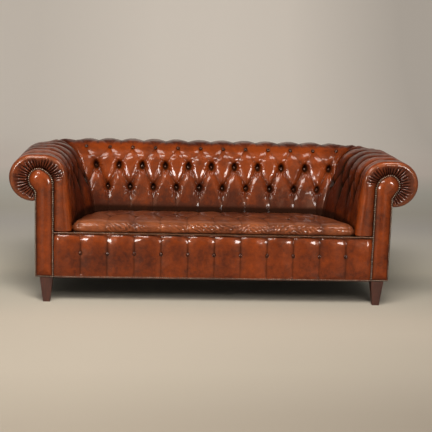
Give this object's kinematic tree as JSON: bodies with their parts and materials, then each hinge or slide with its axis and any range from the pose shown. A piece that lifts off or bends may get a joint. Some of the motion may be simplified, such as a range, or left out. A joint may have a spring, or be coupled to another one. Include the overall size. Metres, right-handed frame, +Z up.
{
  "type": "chesterfield sofa",
  "caption": "Low rolled-arm leather sofa with deep-buttoned back and arms, tight buttoned seat, fluted front, pleated scroll arm fronts, nailed facings and tapered legs",
  "frame": {"origin": "on the floor, under the middle of the sofa's overall width and depth", "axes": "+X to the right of someone who looks at the sofa's front, +Y from front to back, +Z up; the sofa is symmetric left to right"},
  "size_m": [1.9998, 0.8892, 0.73],
  "materials": {
    "leather": "glossy hand-dyed chestnut hide, darker in the creases and rubbed paler on the crowns",
    "leather_buttons": "covered buttons in the same hide, dark at the rim",
    "antique_brass": "aged close nailing, soft sheen",
    "stained_wood": "dark red-brown stain under satin lacquer",
    "beech": "planed, unfinished",
    "steel": "drawn wire, dull",
    "jute_webbing": "woven jute",
    "hessian": "open plain weave",
    "stuffing": "fibre in scrim",
    "black_lining": "thin matt black lining"
  },
  "bodies": {
    "root": {"arm_buttons_left": "leather_buttons", "arm_buttons_right": "leather_buttons", "arm_facing_left": "leather", "arm_facing_right": "leather", "arm_front_board_left": "beech", "arm_front_board_right": "beech", "arm_hessian_left": "hessian", "arm_hessian_right": "hessian", "arm_scroll_border_left": "leather", "arm_scroll_border_right": "leather", "arm_stuffing_left": "stuffing", "arm_stuffing_right": "stuffing", "arm_tacking_rail_left": "beech", "arm_tacking_rail_right": "beech", "arm_top_rail_left": "beech", "arm_top_rail_right": "beech", "arm_webbing_left": "jute_webbing", "arm_webbing_right": "jute_webbing", "back_buttons": "leather_buttons", "back_centre_posts": "beech", "back_hessian": "hessian", "back_post_left": "beech", "back_post_right": "beech", "back_stuffing": "stuffing", "back_tacking_rail": "beech", "back_top_rail": "beech", "back_webbing": "jute_webbing", "centre_stretcher": "beech", "corner_blocks": "beech", "dust_cover": "black_lining", "front_banding": "antique_brass", "front_border_cover": "leather", "front_border_padding": "stuffing", "front_buttons": "leather_buttons", "front_rail": "beech", "inside_arm_cover_left": "leather", "inside_arm_cover_right": "leather", "inside_back_cover": "leather", "leg_front_left": "stained_wood", "leg_front_right": "stained_wood", "leg_rear_left": "stained_wood", "leg_rear_right": "stained_wood", "leg_studs": "steel", "outside_arm_panel_left": "leather", "outside_arm_panel_right": "leather", "outside_back_panel": "leather", "rear_rail": "beech", "seat_buttons": "leather_buttons", "seat_cover": "leather", "seat_edge_wire": "steel", "seat_front_welt": "leather", "seat_hessian": "hessian", "seat_springs": "steel", "seat_stuffing": "stuffing", "seat_webbing": "jute_webbing", "side_rail_left": "beech", "side_rail_right": "beech"}
  },
  "joints": []
}
